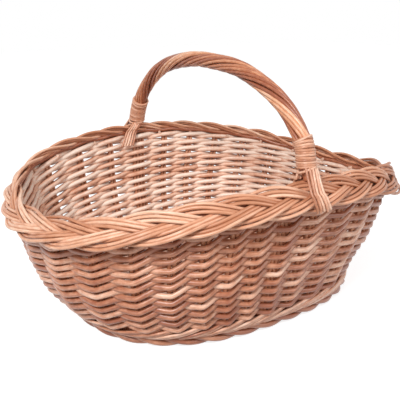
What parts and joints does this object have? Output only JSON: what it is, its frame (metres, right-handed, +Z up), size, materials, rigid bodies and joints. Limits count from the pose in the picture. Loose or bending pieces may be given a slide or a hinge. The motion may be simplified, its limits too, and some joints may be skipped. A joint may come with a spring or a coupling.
{
  "type": "wicker herb basket",
  "caption": "Oval wicker basket with woven sides that flare from a rolled foot to a plaited border, and a roped cross handle arching over its middle.",
  "frame": {"origin": "on the floor below the middle of the basket", "axes": "+X along the basket's longest extent, +Y across it along the handle's span towards the back, +Z up"},
  "size_m": [0.4588, 0.3944, 0.2725],
  "materials": {
    "willow_buff": "stripped willow rods with a low sheen",
    "willow_pale": "pale stripped willow rods with a low sheen",
    "willow_red": "reddish boiled willow rods with a low sheen"
  },
  "bodies": {
    "root": {"base_weave": "willow_pale", "base_long_stick": "willow_buff", "base_cross_stick_1": "willow_buff", "base_cross_stick_2": "willow_buff", "foot_border": "willow_buff", "upsett_wale": "willow_pale", "side_stake_01": "willow_buff", "side_stake_02": "willow_buff", "side_stake_03": "willow_buff", "side_stake_04": "willow_buff", "side_stake_05": "willow_buff", "side_stake_06": "willow_buff", "side_stake_07": "willow_buff", "side_stake_08": "willow_buff", "side_stake_09": "willow_buff", "side_stake_10": "willow_buff", "side_stake_11": "willow_buff", "side_stake_12": "willow_buff", "side_stake_13": "willow_buff", "side_stake_14": "willow_buff", "side_stake_15": "willow_buff", "side_stake_16": "willow_buff", "side_stake_17": "willow_buff", "side_stake_18": "willow_buff", "side_stake_19": "willow_buff", "side_stake_20": "willow_buff", "side_stake_21": "willow_buff", "side_stake_22": "willow_buff", "side_stake_23": "willow_buff", "side_stake_24": "willow_buff", "side_stake_25": "willow_buff", "side_stake_26": "willow_buff", "side_stake_27": "willow_buff", "side_stake_28": "willow_buff", "siding_row_01": "willow_pale", "siding_row_02": "willow_pale", "siding_row_03": "willow_pale", "siding_row_04": "willow_pale", "siding_row_05": "willow_pale", "siding_row_06": "willow_pale", "siding_row_07": "willow_pale", "siding_row_08": "willow_pale", "siding_row_09": "willow_pale", "siding_row_10": "willow_pale", "siding_row_11": "willow_pale", "siding_row_12": "willow_pale", "siding_row_13": "willow_pale", "border_strand_1": "willow_red", "border_strand_2": "willow_red", "border_strand_3": "willow_red", "border_strand_4": "willow_red", "border_strand_5": "willow_red", "handle_bow": "willow_buff", "handle_rope": "willow_red", "binding_front": "willow_pale", "binding_back": "willow_pale", "outer_rod_ends_front": "willow_pale", "outer_rod_ends_back": "willow_pale", "inner_rod_ends_front": "willow_pale", "inner_rod_ends_back": "willow_pale"}
  },
  "joints": []
}
